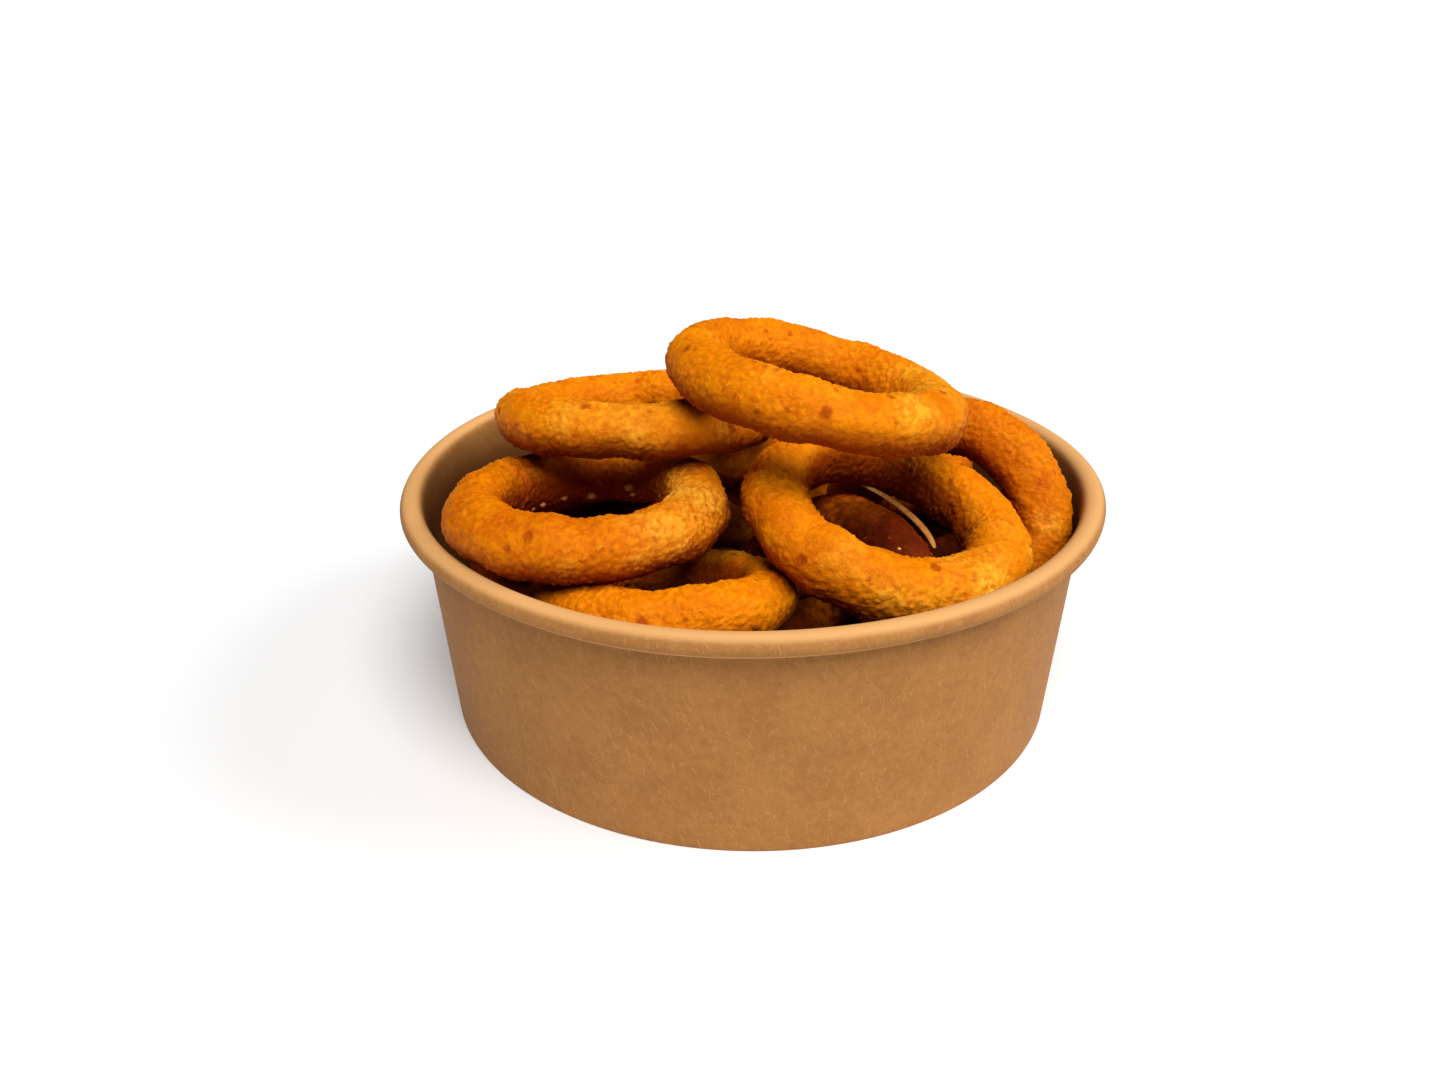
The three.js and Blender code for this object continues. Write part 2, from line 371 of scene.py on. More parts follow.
class MaskGroup:
    """A node group that takes a place and some numbers, and gives one mask from 0 to 1."""

    name = ""
    numbers: tuple[str, ...] = ()

    def __init__(self) -> None:
        """Builds the group once."""
        self.tree = bpy.data.node_groups.new(self.name, "ShaderNodeTree")
        face = self.tree.interface
        face.new_socket("Vector", in_out="INPUT", socket_type="NodeSocketVector")
        for number in self.numbers:
            face.new_socket(number, in_out="INPUT", socket_type="NodeSocketFloat")
        face.new_socket("Mask", in_out="OUTPUT", socket_type="NodeSocketFloat")
        desk = NodeDesk(self.tree)
        given = desk.add("NodeGroupInput").outputs
        desk.add("NodeGroupOutput", {"Mask": self.mask(desk, given)})

    def mask(self, desk: NodeDesk, given: bpy.types.NodeOutputs) -> Socket:
        """Adds the group's own nodes, in each kind of group."""
        raise NotImplementedError

    def place(self, desk: NodeDesk, vector: Socket, values: Clouds | Flecks) -> Socket:
        """Puts the group into a material.

        Args:
            desk: the material's desk.
            vector: the socket that gives the place.
            values: the material's own values, in the order of the group's numbers.

        Returns:
            The mask's socket.
        """
        inputs = {"Vector": vector, **dict(zip(self.numbers, astuple(values), strict=True))}
        return desk.add("ShaderNodeGroup", inputs, node_tree=self.tree).outputs["Mask"]


class MottleGroup(MaskGroup):
    """Cloudy patches at two scales, as in fried batter and in unbleached board."""

    name = "mottle"
    numbers = ("Broad Scale", "Fine Scale", "Fine Share")

    def mask(self, desk: NodeDesk, given: bpy.types.NodeOutputs) -> Socket:
        """Mixes a broad and a fine noise, and sharpens the result round its middle.

        Args:
            desk: the group's desk.
            given: the group's inputs.

        Returns:
            The mask's socket.
        """
        broad = desk.add(
            "ShaderNodeTexNoise", {"Vector": given["Vector"], "Scale": given["Broad Scale"], "Detail": 2.0}
        )
        fine = desk.add(
            "ShaderNodeTexNoise", {"Vector": given["Vector"], "Scale": given["Fine Scale"], "Detail": 3.0}
        )
        mixed = desk.add(
            "ShaderNodeMix",
            {"Factor": given["Fine Share"], "A": broad.outputs[0], "B": fine.outputs[0]},
            data_type="FLOAT",
        )
        return desk.remap(mixed.outputs[0], 0.36, 0.64)


class FleckGroup(MaskGroup):
    """Small round spots, a share of scattered cells, each fading at its wavy edge."""

    name = "fleck"
    numbers = ("Scale", "Share", "Radius")

    def mask(self, desk: NodeDesk, given: bpy.types.NodeOutputs) -> Socket:
        """Marks a disc in each cell of a Voronoi pattern, and keeps it where its cell is picked.

        The places are first shifted a little by a noise. The disc is (radius - distance) times
        the edge's steepness, held between 0 and 1. A cell is picked where its random number is
        under the share.

        Args:
            desk: the group's desk.
            given: the group's inputs.

        Returns:
            The mask's socket.
        """
        wobble = desk.add("ShaderNodeTexNoise", {"Vector": given["Vector"], "Scale": 900.0, "Detail": 1.0})
        shift = desk.add(
            "ShaderNodeVectorMath", {0: wobble.outputs["Color"], "Scale": 0.9 * MM}, operation="SCALE"
        )
        moved = desk.add("ShaderNodeVectorMath", {0: given["Vector"], 1: shift.outputs[0]}, operation="ADD")
        cells = desk.add("ShaderNodeTexVoronoi", {"Vector": moved.outputs[0], "Scale": given["Scale"]})
        inside = desk.math("SUBTRACT", given["Radius"], cells.outputs["Distance"])
        disc = desk.math("MULTIPLY", inside, 7.0, clamp=True)
        pick = desk.add("ShaderNodeSeparateColor", {0: cells.outputs["Color"]})
        picked = desk.math("LESS_THAN", pick.outputs[0], given["Share"])
        return desk.math("MULTIPLY", disc, picked)


@dataclass(frozen=True)
class SharedGroups:
    """The node groups that more than one finish uses."""

    mottle: MottleGroup
    fleck: FleckGroup


def new_material(name: str) -> tuple[bpy.types.Material, NodeDesk]:
    """Starts a node material with nothing in it.

    Args:
        name: the material's name.

    Returns:
        The material, and a desk on its tree.
    """
    material = bpy.data.materials.new(name)
    material.use_nodes = True
    material.node_tree.nodes.clear()
    return material, NodeDesk(material.node_tree)


# Finishes


@dataclass(frozen=True)
class CrumbedBatter:
    """Deep-fried crumb coat: golden body, pale patches, dark flecks, painted highlights on crumb peaks and
    painted shade in the low places.
    """

    name: str
    body: Colour
    ripe: Colour
    # Pale colour for the pale patches, which are partly a painted highlight, and for a painted highlight on
    # the crumbs' peaks.
    pale_highlight: Colour
    # Darker colour: painted shade in the low places between crumbs.
    hollow_shade: Colour
    fleck: Colour = srgb(146, 44, 5)
    # Red-brown painted shade for undersides, holes' sides and places that other rings cover.
    painted_shade: Colour = srgb(116, 24, 1)
    pale_share: float = 0.85
    highlight_share: float = 0.30
    hollow_shade_share: float = 0.28
    spot_share: float = 0.70
    prick_share: float = 0.45
    painted_shade_share: float = 0.82
    clouds: Clouds = Clouds(broad_scale=150.0, fine_scale=700.0, fine_share=0.4)
    spots: Flecks = Flecks(scale=250.0, share=0.10, radius=0.34)
    pricks: Flecks = Flecks(scale=560.0, share=0.10, radius=0.38)
    roughness: float = 0.62
    roughness_swing: float = -0.12

    def build(self, groups: SharedGroups) -> bpy.types.Material:
        """Makes the material.

        The coat's height, kept as the attribute "crumb", paints shade into the coat's low places
        and a highlight onto its peaks. Cloudy patches swing the body between its two tones, the
        attribute "patch" pales whole stretches, partly as lighter frying and partly as a painted
        highlight, flecks darken small spots, and the attribute "under" paints shade on the sides
        that face down and the hole, and where other rings lie close.

        Args:
            groups: the shared node groups.

        Returns:
            The material.
        """
        material, desk = new_material(self.name)
        place = desk.add("ShaderNodeTexCoord").outputs["Object"]
        crumb = desk.attribute("crumb")
        clouds = groups.mottle.place(desk, place, self.clouds)
        tone = desk.blend(clouds, self.ripe, self.body)
        # Pale patches: lighter frying, and partly a painted highlight on the side where the light falls.
        patches = desk.remap(desk.attribute("patch"), 0.35, 1.0)
        pale = desk.math("MULTIPLY", patches, desk.remap(crumb, -0.2, 0.6), clamp=True)
        # Painted highlight on the crumbs' peaks, and painted shade in the low places between them.
        crumb_highlight = desk.remap(crumb, 0.42, 0.72)
        hollows = desk.remap(crumb, 0.32, 0.04)
        spots = groups.fleck.place(desk, place, self.spots)
        pricks = groups.fleck.place(desk, place, self.pricks)
        for mask, share, colour in (
            (pale, self.pale_share, self.pale_highlight),
            (crumb_highlight, self.highlight_share, self.pale_highlight),
            (hollows, self.hollow_shade_share, self.hollow_shade),
            (spots, self.spot_share, self.fleck),
            (pricks, self.prick_share, self.fleck),
            # Painted shade on the undersides, the holes' sides and under neighbouring rings.
            (desk.attribute("under"), self.painted_shade_share, self.painted_shade),
        ):
            tone = desk.blend(desk.math("MULTIPLY", mask, share), tone, colour)
        grit = desk.add("ShaderNodeTexNoise", {"Vector": place, "Scale": 1900.0, "Detail": 3.0})
        bump = desk.add(
            "ShaderNodeBump", {"Height": grit.outputs[0], "Strength": 0.7, "Distance": 0.35 * MM}
        )
        shine = desk.math("MULTIPLY_ADD", clouds, self.roughness_swing)
        shine.node.inputs[2].default_value = self.roughness
        shader = desk.add(
            "ShaderNodeBsdfPrincipled",
            {
                "Base Color": tone,
                "Roughness": shine,
                "Normal": bump.outputs[0],
                "Specular IOR Level": 0.04,
                "Subsurface Weight": 0.25,
                "Subsurface Radius": (1.0, 0.35, 0.08),
                "Subsurface Scale": 1.2 * MM,
            },
        )
        desk.add("ShaderNodeOutputMaterial", {"Surface": shader.outputs[0]})
        return material


@dataclass(frozen=True)
class KraftBoard:
    """Unbleached paper board: cloudy brown, short pale and dark fibres, a faint tooth."""

    name: str
    body: Colour = srgb(174, 120, 62)
    dark: Colour = srgb(158, 105, 51)
    pale_fibre: Colour = srgb(196, 147, 92)
    dark_fibre: Colour = srgb(124, 78, 38)
    # Pale rim colour: a painted highlight along the top, and on the lip the paper's pale cut edge with
    # painted light from below.
    rim_highlight: Colour = srgb(217, 162, 100)
    # Dark inside colour: painted shade that deepens from just under the rim down.
    inside_shade: Colour = srgb(90, 48, 6)
    dark_share: float = 0.75
    pale_fibre_share: float = 0.35
    dark_fibre_share: float = 0.22
    rim_highlight_share: float = 0.9
    inside_shade_share: float = 0.92
    speck_share: float = 0.4
    fibre_turns: tuple[float, float] = (0.5, 2.1)
    clouds: Clouds = Clouds(broad_scale=95.0, fine_scale=520.0, fine_share=0.5)
    specks: Flecks = Flecks(scale=420.0, share=0.05, radius=0.22)
    roughness: float = 0.68
    roughness_swing: float = 0.08

    def build(self, groups: SharedGroups) -> bpy.types.Material:
        """Makes the material.

        The attribute "crown" pales the top of the rim as a painted highlight, and the lip under
        it as the paper's pale cut edge with painted light from below. The attribute "oiled"
        darkens the inside with painted shade. Specks are kept off the pale rim.

        Args:
            groups: the shared node groups.

        Returns:
            The material.
        """
        material, desk = new_material(self.name)
        place = desk.add("ShaderNodeTexCoord").outputs["Object"]
        clouds = groups.mottle.place(desk, place, self.clouds)
        # The rim's pale mark: a painted highlight on its top, and on the lip the pale cut edge with painted
        # light from below.
        rim_highlight = desk.attribute("rim_highlight")
        pale_fibres, dark_fibres = (self.fibres(desk, place, turn) for turn in self.fibre_turns)
        off_rim_highlight = desk.remap(rim_highlight, 0.3, 0.0)
        specks = desk.math("MULTIPLY", groups.fleck.place(desk, place, self.specks), off_rim_highlight)
        tone = desk.blend(desk.math("MULTIPLY", clouds, self.dark_share), self.dark, self.body)
        for mask, share, colour in (
            (pale_fibres, self.pale_fibre_share, self.pale_fibre),
            (dark_fibres, self.dark_fibre_share, self.dark_fibre),
            (rim_highlight, self.rim_highlight_share, self.rim_highlight),
            # Painted shade inside the bowl.
            (desk.attribute("inside_shade"), self.inside_shade_share, self.inside_shade),
            (specks, self.speck_share, self.dark_fibre),
        ):
            tone = desk.blend(desk.math("MULTIPLY", mask, share), tone, colour)
        tooth = desk.add("ShaderNodeTexNoise", {"Vector": place, "Scale": 1500.0, "Detail": 3.0})
        height = desk.math("ADD", tooth.outputs[0], desk.math("MULTIPLY", pale_fibres, 0.3))
        bump = desk.add("ShaderNodeBump", {"Height": height, "Strength": 0.3, "Distance": 0.1 * MM})
        shine = desk.math("MULTIPLY_ADD", clouds, self.roughness_swing)
        shine.node.inputs[2].default_value = self.roughness
        shader = desk.add(
            "ShaderNodeBsdfPrincipled",
            {
                "Base Color": tone,
                "Roughness": shine,
                "Normal": bump.outputs[0],
                "Specular IOR Level": 0.2,
            },
        )
        desk.add("ShaderNodeOutputMaterial", {"Surface": shader.outputs[0]})
        return material

    def fibres(self, desk: NodeDesk, place: Socket, turn: float) -> Socket:
        """Short fibres that lie one way: the thin level lines of a turned and stretched noise.

        Args:
            desk: the material's desk.
            place: the socket that gives the place.
            turn: the way they lie, in radians.

        Returns:
            The fibres' mask.
        """
        lie = desk.add("ShaderNodeMapping", {"Vector": place, "Rotation": (0.4 * turn, 0.7 * turn, turn)})
        stretched = desk.add("ShaderNodeMapping", {"Vector": lie.outputs[0], "Scale": (1.0, 1.0, 0.22)})
        noise = desk.add(
            "ShaderNodeTexNoise",
            {"Vector": stretched.outputs[0], "Scale": 750.0, "Detail": 1.5, "Distortion": 1.2},
        )
        away = desk.math("ABSOLUTE", desk.math("SUBTRACT", noise.outputs[0], 0.5))
        return desk.remap(away, 0.022, 0.004)


@dataclass(frozen=True)
class CookedOnion:
    """Soft cooked onion: pale tan with faint darker clouds and a wet shine."""

    name: str
    flesh: Colour = srgb(196, 132, 62)
    darker: Colour = srgb(168, 96, 36)
    clouds: Clouds = Clouds(broad_scale=300.0, fine_scale=900.0, fine_share=0.4)
    roughness: float = 0.35

    def build(self, groups: SharedGroups) -> bpy.types.Material:
        """Makes the material: clouds blend the darker colour into the flesh.

        Args:
            groups: the shared node groups.

        Returns:
            The material.
        """
        material, desk = new_material(self.name)
        place = desk.add("ShaderNodeTexCoord").outputs["Object"]
        clouds = groups.mottle.place(desk, place, self.clouds)
        shader = desk.add(
            "ShaderNodeBsdfPrincipled",
            {
                "Base Color": desk.blend(clouds, self.darker, self.flesh),
                "Roughness": self.roughness,
                "Specular IOR Level": 0.4,
            },
        )
        desk.add("ShaderNodeOutputMaterial", {"Surface": shader.outputs[0]})
        return material


BATTERS = {
    Browning.GOLDEN: CrumbedBatter(
        name="crumbed_batter_golden",
        body=srgb(226, 132, 3),
        ripe=srgb(215, 113, 2),
        pale_highlight=srgb(247, 176, 44),
        hollow_shade=srgb(168, 64, 3),
    ),
    Browning.AMBER: CrumbedBatter(
        name="crumbed_batter_amber",
        body=srgb(214, 119, 2),
        ripe=srgb(200, 99, 2),
        pale_highlight=srgb(242, 174, 50),
        hollow_shade=srgb(156, 54, 3),
    ),
    # Browner batter; on ring_mid_back_right, seen in a shaded gap, it also paints some of that shade.
    Browning.DEEP: CrumbedBatter(
        name="crumbed_batter_deep",
        body=srgb(204, 106, 3),
        ripe=srgb(186, 86, 2),
        pale_highlight=srgb(212, 132, 30),
        hollow_shade=srgb(112, 38, 3),
    ),
    # Near-black batter: painted shade for the buried rings. Its pale colour paints the pool of light on
    # ring_under_right.
    Browning.SHADED: CrumbedBatter(
        name="crumbed_batter_shaded",
        body=srgb(112, 36, 3),
        ripe=srgb(92, 26, 2),
        pale_highlight=srgb(238, 122, 8),
        hollow_shade=srgb(66, 18, 2),
    ),
}


# Onion rings


@dataclass(frozen=True)
class TubeLine:
    """A ring as its neighbours feel it: places along its centreline, and its tube's radius."""

    places: Array
    radius: float


class SeededNumbers:
    """The same seeded numbers as the part's source, so that a ring's lumps lie as in its solid."""

    def __init__(self, seed: int) -> None:
        """Starts the row of numbers for one seed."""
        self.state = (seed * 2654435761) & WORD

    def draw(self) -> float:
        """Steps the state by a fixed number and stirs it by shifts and multiplications.

        Returns:
            The next number, from 0 to 1.
        """
        self.state = (self.state + 0x6D2B79F5) & WORD
        t = self.state
        t = ((t ^ (t >> 15)) * (t | 1)) & WORD
        t ^= (t + (((t ^ (t >> 7)) * (t | 61)) & WORD)) & WORD
        return ((t ^ (t >> 14)) & WORD) / (WORD + 1)

    def turn(self) -> float:
        """Gives the next number as an angle, from 0 to a full turn."""
        return self.draw() * FULL_TURN


@dataclass(frozen=True)
class Layer:
    """One layer of the crumb coat: the side of its cells, its height in millimetres, its seed."""

    cell: float
    height: float
    seed: int

    def scatter(self, places: Array) -> Array:
        """The layer as rounded crumbs, from nothing up to its height."""
        return self.height * grains(places, self.cell, self.seed)

    def roll(self, places: Array) -> Array:
        """The layer as soft swells, from its height below to its height above."""
        return self.height * smooth_noise(places, self.cell, self.seed)


@dataclass(frozen=True)
class CrustSizes:
    """Sizes of the crust that all rings share, in millimetres. The waves are the CAD source's."""

    relief: float = 0.4
    relief_gain: float = 1.8
    oval: float = 0.012
    trefoil_share: float = 0.7
    warp: float = 0.35
    orders: tuple[tuple[int, int], ...] = ((3, 0), (5, 1), (7, -1), (9, 2), (12, 1), (4, -2), (15, 0))
    least_weight: float = 0.6
    weight_range: float = 0.8
    swells: Layer = Layer(cell=5.2, height=0.20, seed=21)
    clots: Layer = Layer(cell=2.6, height=0.20, seed=41)
    crumbs: Layer = Layer(cell=1.1, height=0.42, seed=61)
    grit: Layer = Layer(cell=0.66, height=0.30, seed=81)
    rough_cell: float = 9.0
    rough_seed: int = 31
    least_rough: float = 0.55
    rough_range: float = 0.55
    coat_shift: float = 37.0


@dataclass(frozen=True)
class Frying:
    """How a ring was fried and shaded: its browning, its pale side, and the painted shade on its underside,
    on its hole's side and under other rings.

    The pale side is an angle along the ring in degrees, and the paleness has faded at
    `pale_reach` degrees from it. The paleness is partly lighter frying and partly a painted
    highlight where the light falls.
    """

    browning: Browning
    pale_and_lit_side: float = 0.0
    pale_reach: float = 180.0
    hole_shade: float = 0.4
    mean_pale: float = 0.26
    patch_pale: float = 0.40
    lit_side_pale: float = 0.44
    patch_cell: float = 6.5
    patch_seed: int = 91
    patch_shift: float = 11.0
    unshaded_facing: float = 0.42
    shaded_facing: float = -0.68
    shade_reach: float = 11.0
    shade_touch: float = 0.5
    least_cover: float = 0.4
    full_cover: float = 0.95

    def paleness(self, places: Array, along: Array, seed: int) -> Array:
        """How pale each place is, from 0 to 1.

        A slow noise makes patches, and one side of the ring is paler, partly as lighter frying and
        partly as a painted highlight where the light falls: the cosine of the angle from the pale
        side, stretched so that it falls to -1 at `pale_reach`, adds to the noise.

        Args:
            places: places on the smooth crust, in millimetres.
            along: angles along the ring.
            seed: the ring's seed.

        Returns:
            The paleness.
        """
        patches = smooth_noise(places + self.patch_shift * seed, self.patch_cell, self.patch_seed)
        away = np.abs((along - math.radians(self.pale_and_lit_side) + math.pi) % FULL_TURN - math.pi)
        side = np.cos(math.pi * np.minimum(away / math.radians(self.pale_reach), 1.0))
        return np.clip(self.mean_pale + self.patch_pale * patches + self.lit_side_pale * side, 0.0, 1.0)

    def underside_shade(self, across: Array, outward: Array) -> Array:
        """Painted shade on each place of a ring on its own, from 0 to 1.

        It grows as the surface turns to face down, away from the light. On the side that faces the
        ring's hole it starts sooner, by the ring's share for that side.

        Args:
            across: angles round the tube, 0 at the outside.
            outward: outward directions.

        Returns:
            The soaking.
        """
        sooner = self.hole_shade * np.clip(-np.cos(across), 0.0, 1.0)
        return smoothstep(self.unshaded_facing, self.shaded_facing, outward[..., 2] - sooner)

    def cover_shade(self, places: Array, outward: Array, neighbours: list[TubeLine]) -> Array:
        """How closely other rings cover each place, from 0 to 1, as painted shade where they lie close over
        it.

        For every other ring the nearest place on its centreline is found. The cover is the
        cosine between the outward direction and the way there, times a smooth fall from 1 where
        the crusts nearly touch to 0 at `shade_reach`. The largest cover counts, and a last
        smooth step drops the weak covers.

        Args:
            places: places in millimetres.
            outward: outward directions.
            neighbours: the other rings' tubes.

        Returns:
            The cover.
        """
        flat, normal = places.reshape(-1, 3), outward.reshape(-1, 3)
        cover = np.zeros(len(flat))
        for tube in neighbours:
            line = tube.places
            squares = (flat**2).sum(axis=1)[:, None] + (line**2).sum(axis=1) - 2.0 * flat @ line.T
            away = line[squares.argmin(axis=1)] - flat
            distance = np.linalg.norm(away, axis=1)
            facing = np.clip((away * normal).sum(axis=1) / distance, 0.0, 1.0)
            near = smoothstep(self.shade_reach, self.shade_touch, distance - tube.radius)
            cover = np.maximum(cover, facing * near)
        return smoothstep(self.least_cover, self.full_cover, cover).reshape(places.shape[:-1])


@dataclass(frozen=True)
class OnionRing:
    """One crumbed ring that stands for a ring solid: its lean and size as in the CAD source."""

    node: str
    tilt: float
    heading: float
    radius: float
    tube: float
    seed: int
    detail: Detail
    frying: Frying
    crust: CrustSizes = CrustSizes()
    line_steps: int = 60
    box_steps: tuple[int, int] = (169, 89)

    def surface(self, along: Array, across: Array) -> tuple[Array, Array]:
        """Places of the smooth crust at angles along the ring and round its tube.

        The centreline is a circle that swells by a two-lobed and a three-lobed sine and lifts by
        a two-lobed sine. The tube's radius is its mean plus a weighted sum of sines of whole
        numbers of waves along and across. The ring then leans by its tilt and is turned to its
        heading.

        Args:
            along: angles along the ring.
            across: angles round the tube, same shape.

        Returns:
            The places about the ring's own centre, and the outward directions.
        """
        numbers = SeededNumbers(self.seed)
        oval, trefoil, warp = numbers.turn(), numbers.turn(), numbers.turn()
        waves = [
            (a, b, numbers.turn(), self.crust.least_weight + self.crust.weight_range * numbers.draw())
            for a, b in self.crust.orders
        ]
        total = sum(weight for *_, weight in waves)
        swell = sum(w * np.sin(a * along + b * across + phase) for a, b, phase, w in waves) / total
        tube = self.tube + self.crust.relief * self.crust.relief_gain * swell
        out = 1.0 + self.crust.oval * np.sin(2.0 * along + oval)
        out = out + self.crust.oval * self.crust.trefoil_share * np.sin(3.0 * along + trefoil)
        lift = self.crust.warp * np.sin(2.0 * along + warp)
        cosine, sine = np.cos(along), np.sin(along)
        outward = np.stack([np.cos(across) * cosine, np.cos(across) * sine, np.sin(across)], axis=-1)
        centre = np.stack([self.radius * out * cosine, self.radius * out * sine, lift], axis=-1)
        lean = self.lean()
        return (centre + tube[..., None] * outward) @ lean.T, outward @ lean.T

    def lean(self) -> Array:
        """The turn by the tilt about Y, and then by the heading about Z."""
        tilt = Matrix.Rotation(math.radians(self.tilt), 3, "Y")
        return np.array(Matrix.Rotation(math.radians(self.heading), 3, "Z") @ tilt)

    def centre(self) -> Array:
        """Where the ring's centre lies, so that its smooth crust fills the solid's box.

        Returns:
            The centre in millimetres.
        """
        turns = [np.linspace(0.0, FULL_TURN, steps) for steps in self.box_steps]
        crust, _ = self.surface(*np.meshgrid(*turns, indexing="ij"))
        middle = (crust.min(axis=(0, 1)) + crust.max(axis=(0, 1))) / 2.0
        low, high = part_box(self.node)
        return np.array((low + high) / 2.0) / MM - middle

    def coat(self, places: Array) -> tuple[Array, Array]:
        """Height of the crumb coat over the smooth crust, and how high it is as a share.

        The coat adds soft swells, clots of batter, crumbs and grit. A slow noise makes some
        stretches rough and others nearly bare.

        Args:
            places: places on the smooth crust, in millimetres.

        Returns:
            The height in millimetres, about zero in the mean, and its share from 0 to 1.
        """
        c = self.crust
        shifted = places + c.coat_shift * self.seed
        stretches = smoothstep(-0.35, 0.45, smooth_noise(shifted, c.rough_cell, c.rough_seed))
        rough = c.least_rough + c.rough_range * stretches
        rise = c.clots.scatter(shifted) + rough * (c.crumbs.scatter(shifted) + c.grit.scatter(shifted))
        highest = c.clots.height + (c.least_rough + c.rough_range) * (c.crumbs.height + c.grit.height)
        height = c.swells.roll(shifted) + rise
        return height - height.mean(), rise / highest

    def tube_line(self) -> TubeLine:
        """The plain circle along the middle of the tube, leant and put in its place.

        Returns:
            The circle's places in millimetres, with the tube's radius.
        """
        along = np.linspace(0.0, FULL_TURN, self.line_steps, endpoint=False)
        flat = np.stack([np.cos(along), np.sin(along), 0.0 * along], axis=-1) * self.radius
        return TubeLine(flat @ self.lean().T + self.centre(), self.tube)

    def build(self, finish: bpy.types.Material, neighbours: list[TubeLine]) -> bpy.types.Object:
        """Makes the crumbed ring, and lets it stand for its solid.

        Args:
            finish: the batter's material.
            neighbours: the other rings' tubes.

        Returns:
            The ring.
        """
        turns = [np.arange(steps) * FULL_TURN / steps for steps in self.detail.value]
        along, across = np.meshgrid(*turns, indexing="ij")
        crust, outward = self.surface(along, across)
        height, share = self.coat(crust)
        points = crust + height[..., None] * outward + self.centre()
        values = {
            "crumb": share,
            "patch": self.frying.paleness(crust, along, self.seed),
            # "under": painted shade, where the surface faces down, on the hole's side and close under other
            # rings.
            "under": np.maximum(
                self.frying.underside_shade(across, outward), self.frying.cover_shade(points, outward, neighbours)
            ),
        }
        piece = GridMesh(f"crumbed_{self.node}", points, True, values).build()
        piece.data.materials.append(finish)
        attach(piece, "root")
        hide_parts(self.node)
        return piece


# Buried rings wear the near-black batter as painted shade.
RINGS = (
    OnionRing(
        "ring_floor_left", tilt=0.0, heading=0.0, radius=20.0, tube=5.5, seed=11,
        detail=Detail.BURIED, frying=Frying(Browning.SHADED),
    ),
    OnionRing(
        "ring_floor_right", tilt=1.0, heading=168.0, radius=20.5, tube=5.7, seed=12,
        detail=Detail.BURIED, frying=Frying(Browning.SHADED),
    ),
    OnionRing(
        "ring_floor_back", tilt=4.0, heading=333.0, radius=21.0, tube=5.7, seed=13,
        detail=Detail.BURIED, frying=Frying(Browning.SHADED),
    ),
    OnionRing(
        "ring_low_front", tilt=10.0, heading=50.0, radius=16.5, tube=5.6, seed=14,
        detail=Detail.BURIED, frying=Frying(Browning.SHADED),
    ),
    OnionRing(
        "ring_low_left", tilt=2.0, heading=130.0, radius=19.5, tube=5.5, seed=15,
        detail=Detail.BURIED, frying=Frying(Browning.SHADED),
    ),
    OnionRing(
        "ring_low_right", tilt=6.0, heading=171.0, radius=17.5, tube=5.7, seed=16,
        detail=Detail.BURIED, frying=Frying(Browning.SHADED),
    ),
    OnionRing(
        "ring_low_back", tilt=13.0, heading=342.0, radius=18.5, tube=5.6, seed=17,
        detail=Detail.BURIED, frying=Frying(Browning.AMBER),
    ),
    OnionRing(
        "ring_mid_left", tilt=5.5, heading=158.0, radius=20.0, tube=5.4, seed=19,
        detail=Detail.MIDDLE, frying=Frying(Browning.SHADED, hole_shade=0.6),
    ),
    OnionRing(
        "ring_mid_back_right", tilt=4.5, heading=165.0, radius=18.0, tube=5.7, seed=18,
        detail=Detail.MIDDLE, frying=Frying(Browning.DEEP, hole_shade=0.6),
    ),
    OnionRing(
        "ring_mid_back", tilt=6.0, heading=102.0, radius=24.5, tube=5.3, seed=20,
        detail=Detail.MIDDLE, frying=Frying(Browning.AMBER, hole_shade=0.6),
    ),
    OnionRing(
        "ring_high_back", tilt=7.0, heading=25.0, radius=18.5, tube=5.6, seed=21,
        detail=Detail.MIDDLE, frying=Frying(Browning.AMBER),
    ),
    # ring_under_right: its pale side paints the pool of light falling through ring_right's hole, and its
    # near-black batter paints shade.
    OnionRing(
        "ring_under_right", tilt=52.0, heading=225.0, radius=20.0, tube=6.0, seed=2,
        detail=Detail.MIDDLE, frying=Frying(Browning.SHADED, pale_and_lit_side=192.0, pale_reach=55.0),
    ),
    OnionRing(
        "ring_right_back", tilt=62.5, heading=242.0, radius=21.0, tube=6.3, seed=3,
        detail=Detail.FULL, frying=Frying(Browning.AMBER, pale_and_lit_side=20.0, hole_shade=0.1),
    ),
    OnionRing(
        "ring_front", tilt=14.5, heading=88.0, radius=19.5, tube=5.8, seed=4,
        detail=Detail.FULL, frying=Frying(Browning.GOLDEN, pale_and_lit_side=20.0, hole_shade=1.6),
    ),
    OnionRing(
        "ring_right", tilt=17.3, heading=323.0, radius=22.4, tube=6.35, seed=5,
        detail=Detail.FULL, frying=Frying(Browning.GOLDEN, pale_and_lit_side=347.0, hole_shade=0.95),
    ),
    OnionRing(
        "ring_left", tilt=4.3, heading=101.0, radius=21.7, tube=6.0, seed=6,
        detail=Detail.FULL, frying=Frying(Browning.AMBER, pale_and_lit_side=250.0, hole_shade=0.75),
    ),
    OnionRing(
        "ring_upper_left", tilt=11.2, heading=95.0, radius=24.3, tube=5.6, seed=7,
        detail=Detail.FULL, frying=Frying(Browning.GOLDEN, pale_and_lit_side=215.0, hole_shade=0.0),
    ),
    OnionRing(
        "ring_top", tilt=13.4, heading=19.0, radius=24.4, tube=5.9, seed=8,
        detail=Detail.FULL, frying=Frying(Browning.GOLDEN, pale_and_lit_side=321.0, hole_shade=0.0),
    ),
)


